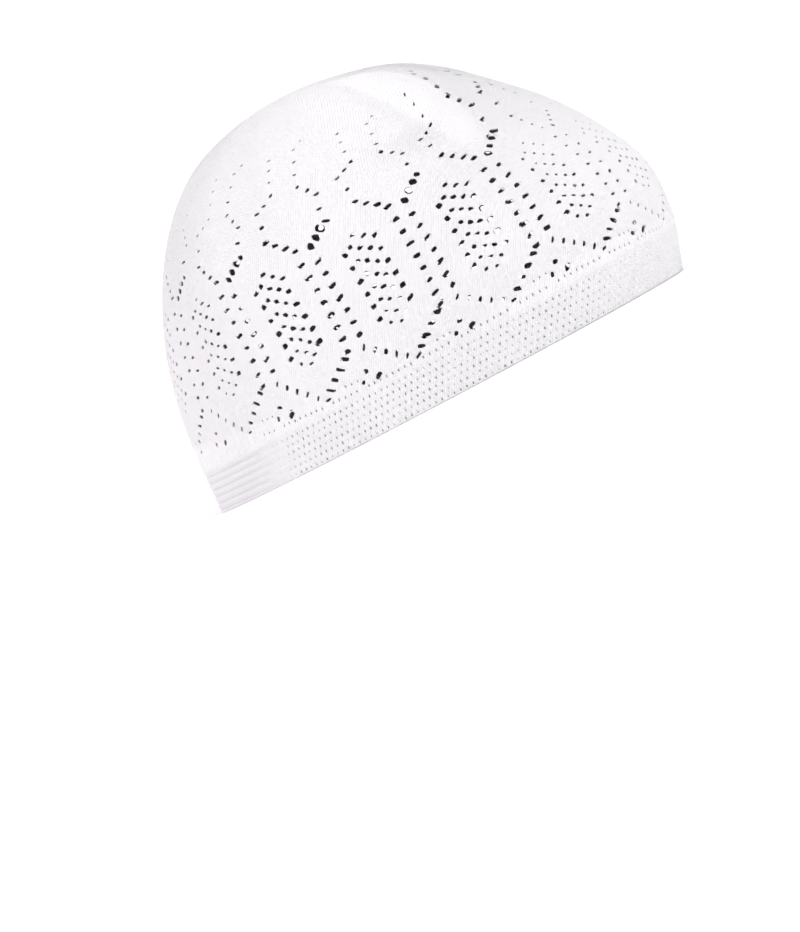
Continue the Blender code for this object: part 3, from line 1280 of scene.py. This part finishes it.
    def lay_out(self, form: bmesh.types.BMesh) -> dict[bmesh.types.BMVert, SmallHole]:
        """Bring the ring to the band's form.

        Args:
            form: the ring of squares.

        Returns:
            The small holes, by the grid points that they open from.
        """
        column_of = form.verts.layers.int["column"]
        row_of = form.verts.layers.int["row"]
        hollow_shade = form.verts.layers.float["hollow_shade"]
        seats = {}
        for vert in form.verts:
            column, row = vert[column_of], self.section[vert[row_of]]
            vert.co = self.outer_point(column, row.height, row.inset, 0.0)
            if row.height == 0.0:
                vert.co.z += self.scallops[column % self.hole_columns]
            if not row.holes:
                continue
            turn = self.turn_at(column, row.height)
            # Painted shade along the valleys between the welts, strongest at the rear.
            vert[hollow_shade] = self.valley_shade * self.welted(turn)
            if column % self.hole_columns == 0:
                share = TENSION.small(turn) * self.chance.uniform(*self.hole_spread)
                if share > self.least_open:
                    seats[vert] = SmallHole(vert.co.copy(), column, row.height, share)
        return seats

    def sink_holes(
        self,
        form: bmesh.types.BMesh,
        seats: dict[bmesh.types.BMVert, SmallHole],
        rim_length: float,
    ) -> None:
        """Sink the small holes into the band.

        Args:
            form: the band.
            seats: the small holes, by the grid points that they open from.
            rim_length: the length of rim in one column.
        """
        holes = list(seats.values())
        tree = KDTree(len(holes))
        for index, hole in enumerate(holes):
            tree.insert(hole.middle, index)
        tree.balance()
        faces = bevel_points(form, list(seats), self.hole_bevel)
        hollow_shade = form.verts.layers.float["hollow_shade"]
        slant = self.slant * rim_length * self.columns_each + self.hole_lean
        for vert in {vert for face in faces for vert in face.verts}:
            _, index, distance = tree.find(vert.co)
            hole = holes[index]
            if distance < self.middle_reach:
                sink = self.hole_sink * hole.share
                vert.co = self.outer_point(hole.column, hole.height, 0.0, sink)
                # Painted shade in the middle of each small hole, darker the wider it stands open.
                vert[hollow_shade] = min(hole.share, 1.0)
                continue
            shift = vert.co - hole.middle
            turn = self.turn_at(hole.column, hole.height)
            forward = Vector((math.cos(turn), -math.sin(turn), 0.0))
            direction = math.atan2(shift.z, shift.dot(forward))
            size = hole.share ** 0.5
            high = self.hole_height * size * math.sin(direction)
            wide = self.hole_length * size * math.cos(direction) - slant * high
            column = hole.column + wide / rim_length
            vert.co = self.outer_point(column, hole.height + high, 0.0, 0.0)

    @staticmethod
    def dress(piece: bpy.types.Object) -> None:
        """Dress the band in its one finish."""
        dress(piece, [BAND_FACE], "band")


class Number:
    """A number in a shader: a node's socket that takes part in Python arithmetic."""

    def __init__(self, nodes: "ShaderNodes", socket: bpy.types.NodeSocket) -> None:
        """Keep the socket and the nodes that it belongs to."""
        self.nodes = nodes
        self.socket = socket

    def step(self, operation: str, *others: "Number | float") -> "Number":
        """Add one Math node and give its result."""
        node = self.nodes.add("ShaderNodeMath", {"operation": operation}, [self, *others])
        return Number(self.nodes, node.outputs[0])

    def __add__(self, other: "Number | float") -> "Number":
        """Add a number."""
        return self.step("ADD", other)

    __radd__ = __add__

    def __sub__(self, other: "Number | float") -> "Number":
        """Take a number away."""
        return self.step("SUBTRACT", other)

    def __rsub__(self, other: float) -> "Number":
        """Take this away from a number."""
        return self.step("MULTIPLY", -1.0).step("ADD", other)

    def __mul__(self, other: "Number | float") -> "Number":
        """Multiply by a number."""
        return self.step("MULTIPLY", other)

    __rmul__ = __mul__

    def __abs__(self) -> "Number":
        """Drop the sign."""
        return self.step("ABSOLUTE")

    def squared(self) -> "Number":
        """Multiply by itself."""
        return self.step("POWER", 2.0)

    def between(self, low: float, high: float) -> "Number":
        """Keep the number between two others."""
        return self.step("MAXIMUM", low).step("MINIMUM", high)


class ShaderNodes:
    """Adds nodes to one material."""

    def __init__(self, material: bpy.types.Material) -> None:
        """Clear a material's nodes.

        Args:
            material: the material.
        """
        material.use_nodes = True
        self.tree = material.node_tree
        self.tree.nodes.clear()

    def add(
        self, kind: str, settings: dict[str, object], inputs: "list | dict"
    ) -> bpy.types.ShaderNode:
        """Add a node, set it and fill its inputs.

        Args:
            kind: the node's type.
            settings: its properties.
            inputs: values, sockets or numbers for its inputs, in order or by name.

        Returns:
            The node.
        """
        node = self.tree.nodes.new(kind)
        for name, value in settings.items():
            setattr(node, name, value)
        pairs = inputs.items() if isinstance(inputs, dict) else enumerate(inputs)
        for key, value in pairs:
            if isinstance(value, Number):
                value = value.socket
            if isinstance(value, bpy.types.NodeSocket):
                self.tree.links.new(value, node.inputs[key])
            else:
                node.inputs[key].default_value = value
        return node

    def number(
        self, kind: str, settings: dict[str, object], inputs: "list | dict", output: str
    ) -> Number:
        """Add a node and give one of its outputs as a number."""
        return Number(self, self.add(kind, settings, inputs).outputs[output])

    def mix(
        self, share: Number, first: Colour | bpy.types.NodeSocket, second: Colour
    ) -> bpy.types.NodeSocket:
        """Mix two colours, by the share of the second one."""
        inputs = {"Factor": share, MIX_FIRST: first, MIX_SECOND: second}
        return self.add("ShaderNodeMix", {"data_type": "RGBA"}, inputs).outputs[MIX_RESULT]

    def surface(self, inputs: dict[str, object]) -> None:
        """End the material in a Principled shader with some inputs."""
        shader = self.add("ShaderNodeBsdfPrincipled", {}, inputs)
        self.add("ShaderNodeOutputMaterial", {}, {"Surface": shader.outputs[0]})


@dataclass(frozen=True)
class KnitFinish:
    """A plain knitted finish: rows of V-shaped stitches in one yarn, darker where the yarn lies
    low, which is painted shade.
    """

    name: str
    yarn: Colour
    # The valley colour is painted shade where the yarn lies low between the strands.
    valley: Colour
    relief: float
    # The hollow colour is painted shade, laid on by the vertices' shade values.
    hollow_shade: Colour = (0.22, 0.215, 0.225, 1.0)
    hollow_shade_gain: float = 1.6
    hollow_shade_from: float = 0.1
    roughness: float = 0.88
    sheen: float = 0.15
    leg_rise: float = 0.75
    strand_middle: float = 0.46
    strand_round: float = 3.4
    loop_round: float = 0.6
    faintest: float = 0.74
    uneven: float = 0.46
    cloud_scale: float = 34.0
    cloud_detail: float = 3.0
    cloud_share: float = 0.25

    def height(self, nodes: ShaderNodes) -> Number:
        """Work out the height of the yarn from the stitch counts.

        Args:
            nodes: the material's nodes.

        Returns:
            The height, as a share of the relief.
        """
        uv = nodes.add("ShaderNodeUVMap", {"uv_map": "stitches"}, {})
        parts = nodes.add("ShaderNodeSeparateXYZ", {}, [uv.outputs["UV"]])
        across = Number(nodes, parts.outputs["X"])
        up = Number(nodes, parts.outputs["Y"])
        leg = abs(across.step("FRACT") - 0.5) * 2.0
        slant = (up - leg * self.leg_rise).step("FRACT")
        strand = 1.0 - (leg - self.strand_middle).squared() * self.strand_round
        loop = 1.0 - (slant * 2.0 - 1.0).squared()
        stitch = nodes.add(
            "ShaderNodeCombineXYZ", {}, [across.step("FLOOR"), up.step("FLOOR"), 0.0]
        )
        noise_of = {"Vector": stitch.outputs[0]}
        uneven = nodes.number(
            "ShaderNodeTexWhiteNoise", {"noise_dimensions": "3D"}, noise_of, "Value"
        )
        rounded = loop * self.loop_round + (1.0 - self.loop_round)
        return strand.step("MAXIMUM", 0.0) * rounded * (uneven * self.uneven + self.faintest)

    def material(self) -> bpy.types.Material:
        """Make the finish's material.

        Returns:
            The material.
        """
        material = bpy.data.materials.new(self.name)
        nodes = ShaderNodes(material)
        height = self.height(nodes)
        place = nodes.add("ShaderNodeTexCoord", {}, {}).outputs["Object"]
        cloud = nodes.number(
            "ShaderNodeTexNoise",
            {"noise_dimensions": "3D"},
            {"Vector": place, "Scale": self.cloud_scale, "Detail": self.cloud_detail},
            "Fac",
        )
        # Low-lying yarn takes the valley colour, which is painted shade; the cloud is random tone
        # of the yarn.
        stitch_shade_and_tone = height * (1.0 - self.cloud_share) + cloud * self.cloud_share
        # Painted shade in the dimples, the small holes and the welts' valleys.
        hollow_shade = nodes.number("ShaderNodeAttribute", {"attribute_name": "hollow_shade"}, {}, "Fac")
        painted_hollow_shade = (hollow_shade * self.hollow_shade_gain - self.hollow_shade_from).between(0.0, 1.0)
        bump_inputs = {"Strength": 1.0, "Distance": self.relief, "Height": height}
        nodes.surface({
            "Base Color": nodes.mix(painted_hollow_shade, nodes.mix(stitch_shade_and_tone, self.valley, self.yarn), self.hollow_shade),
            "Roughness": self.roughness,
            "Sheen Weight": self.sheen,
            "Normal": nodes.add("ShaderNodeBump", {}, bump_inputs).outputs["Normal"],
        })
        return material


CROWN_FACE = KnitFinish("crown_face", (0.97, 0.96, 0.97, 1.0), (0.73, 0.715, 0.73, 1.0), 0.30 * MM)
BAND_FACE = replace(CROWN_FACE, name="band_face")
# The wrong side's knit is real; its grey colour is painted shade, so the inside looks dark through
# the eyelets.
CROWN_BACK_PAINTED_SHADE = KnitFinish(
    "crown_wrong_side_painted_shade", (0.62, 0.61, 0.63, 1.0), (0.5, 0.49, 0.51, 1.0), 0.20 * MM
)


@dataclass(frozen=True)
class Sun:
    """A broad soft light, as even as daylight, placed by the same angles as the camera."""

    name: str
    azimuth: float
    elevation: float
    strength: float
    colour: tuple[float, float, float] = (1.0, 1.0, 1.0)
    spread: float = 40.0


@dataclass(frozen=True)
class Studio:
    """The pale floor, the soft lights and the camera.

    The camera sees its target at the pixel seen_at, counted from the frame's upper left corner.
    """

    floor_radius: float = 5.0
    floor_sides: int = 96
    cove_radius: float = 5.0
    cove_bend: float = 40.0
    cove_steps: int = 14
    paper: Colour = (0.93, 0.93, 0.93, 1.0)
    paper_roughness: float = 0.9
    sky: Colour = (0.985, 0.98, 1.0, 1.0)
    suns: tuple[Sun, ...] = (
        Sun("key", -36.0, 22.0, 1.57),
        Sun("fill", -160.0, 20.0, 1.18, (1.0, 0.93, 0.985)),
    )
    focal_pixels: float = 6077.0
    frame_pixels: tuple[int, int] = (800, 932)
    sensor: float = 36.0
    clip: tuple[float, float] = (0.1, 100.0)
    azimuth: float = -72.6
    elevation: float = 0.0
    roll: float = 28.0
    distance: float = 2.29
    target: tuple[float, float, float] = (0.0, 0.004, 0.064)
    seen_at: tuple[float, float] = (371.9, 241.3)

    def floor(self) -> None:
        """Lay the pale floor, which curves up all around, far from the cap."""
        form = bmesh.new()
        made = bmesh.ops.create_circle(
            form, cap_ends=True, radius=self.floor_radius, segments=self.floor_sides
        )
        edges = list({edge for vert in made["verts"] for edge in vert.link_edges})
        for step in range(1, self.cove_steps + 1):
            bend = math.radians(self.cove_bend) * step / self.cove_steps
            radius = self.floor_radius + self.cove_radius * math.sin(bend)
            height = self.cove_radius * (1 - math.cos(bend))
            added = bmesh.ops.extrude_edge_only(form, edges=edges)["geom"]
            edges = [
                item
                for item in added
                if isinstance(item, bmesh.types.BMEdge) and item.is_boundary
            ]
            for vert in {vert for edge in edges for vert in edge.verts}:
                flat = Vector((vert.co.x, vert.co.y, 0.0)).normalized() * radius
                vert.co = flat + Vector((0.0, 0.0, height))
        bmesh.ops.recalc_face_normals(form, faces=form.faces)
        floor = make_piece("floor", form)
        material = bpy.data.materials.new("floor_paper")
        ShaderNodes(material).surface(
            {"Base Color": self.paper, "Roughness": self.paper_roughness}
        )
        floor.data.materials.append(material)

    def world(self) -> None:
        """Light the room softly from all around."""
        world = bpy.data.worlds.new("studio")
        world.use_nodes = True
        world.node_tree.nodes["Background"].inputs["Color"].default_value = self.sky
        bpy.context.scene.world = world

    def direction(self, azimuth: float, elevation: float) -> Vector:
        """Give the way from the cap towards a place around it.

        Args:
            azimuth: the place's azimuth, in degrees.
            elevation: its elevation, in degrees.

        Returns:
            The direction, of length 1.
        """
        turn, rise = math.radians(azimuth), math.radians(elevation)
        flat = Vector((math.sin(turn), -math.cos(turn), 0.0)) * math.cos(rise)
        return flat + Vector((0.0, 0.0, math.sin(rise)))

    def hang(self, sun: Sun) -> None:
        """Hang one of the lights.

        Args:
            sun: the light.
        """
        data = bpy.data.lights.new(sun.name, "SUN")
        data.angle = math.radians(sun.spread)
        data.energy = sun.strength
        data.color = sun.colour
        light = bpy.data.objects.new(sun.name, data)
        bpy.context.scene.collection.objects.link(light)
        back = self.direction(sun.azimuth, sun.elevation)
        light.location = Vector(self.target) + back
        light.rotation_mode = "QUATERNION"
        light.rotation_quaternion = back.to_track_quat("Z", "Y")

    def camera(self) -> None:
        """Set up the camera at the photo's angle to the cap, but above the floor."""
        data = bpy.data.cameras.new("camera")
        data.sensor_width = self.sensor
        data.lens = self.focal_pixels * self.sensor / max(self.frame_pixels)
        data.clip_start, data.clip_end = self.clip
        camera = bpy.data.objects.new("camera", data)
        bpy.context.scene.collection.objects.link(camera)
        back = self.direction(self.azimuth, self.elevation)
        right = Vector((0.0, 0.0, 1.0)).cross(back).normalized()
        up = back.cross(right)
        roll = math.radians(self.roll)
        across = right * math.cos(roll) - up * math.sin(roll)
        upright = right * math.sin(roll) + up * math.cos(roll)
        axes = Matrix((across, upright, back)).transposed().to_quaternion()
        seen = Vector((
            self.seen_at[0] - self.frame_pixels[0] / 2,
            self.frame_pixels[1] / 2 - self.seen_at[1],
            -self.focal_pixels,
        ))
        aim = Vector((0.0, 0.0, -1.0)).rotation_difference(seen)
        camera.location = Vector(self.target) + back * self.distance
        camera.rotation_mode = "QUATERNION"
        camera.rotation_quaternion = axes @ aim.conjugated()
        bpy.context.scene.camera = camera

    def build(self) -> None:
        """Set up the whole studio."""
        self.floor()
        self.world()
        for sun in self.suns:
            self.hang(sun)
        self.camera()
        bpy.context.scene.view_settings.view_transform = "Standard"


def main() -> None:
    """Build the cap and its studio, and log each piece's number of faces."""
    logging.basicConfig(level=logging.INFO, format="%(name)s: %(message)s")
    form = CapForm()
    crown = Crown(form)
    openwork, top = crown.build()
    crown.dress(openwork)
    crown.dress(top)
    edge = Band(form, crown.repeats)
    band = edge.build()
    edge.dress(band)
    for piece in (openwork, top, band):
        LOG.info("%s: %d faces", piece.name, len(piece.data.polygons))
    Studio().build()


if __name__ == "__main__":
    main()
